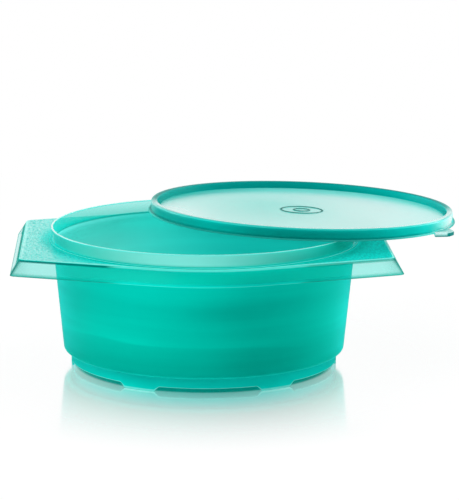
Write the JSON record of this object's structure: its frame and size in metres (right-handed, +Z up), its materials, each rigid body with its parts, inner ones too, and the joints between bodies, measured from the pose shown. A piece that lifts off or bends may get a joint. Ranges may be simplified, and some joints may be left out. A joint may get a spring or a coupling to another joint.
{
  "type": "tortilla warmer",
  "caption": "Round plastic bowl with flat wing handles on a flared apron, a notched foot ring and a loose lid with a pull tab, for keeping flatbreads warm.",
  "frame": {"origin": "centre of the foot ring, in the plane the feet stand on, on the bowl's axis", "axes": "+Z up along the bowl's axis, X through the two wing handles, -Y is the front"},
  "size_m": [0.3518, 0.3018, 0.1219],
  "materials": {
    "bowl": "translucent teal injection-moulded plastic, glossy, handle tops finely textured",
    "lid": "translucent teal injection-moulded plastic, thinner and clearer than the bowl"
  },
  "bodies": {
    "bowl": {"bowl": "bowl"},
    "lid": {"lid": "lid"}
  },
  "joints": [
    {"name": "lid_lift", "type": "slide", "parent": "bowl", "child": "lid", "axis": [0, 0, 1], "range_m": [0, 0.1]}
  ]
}
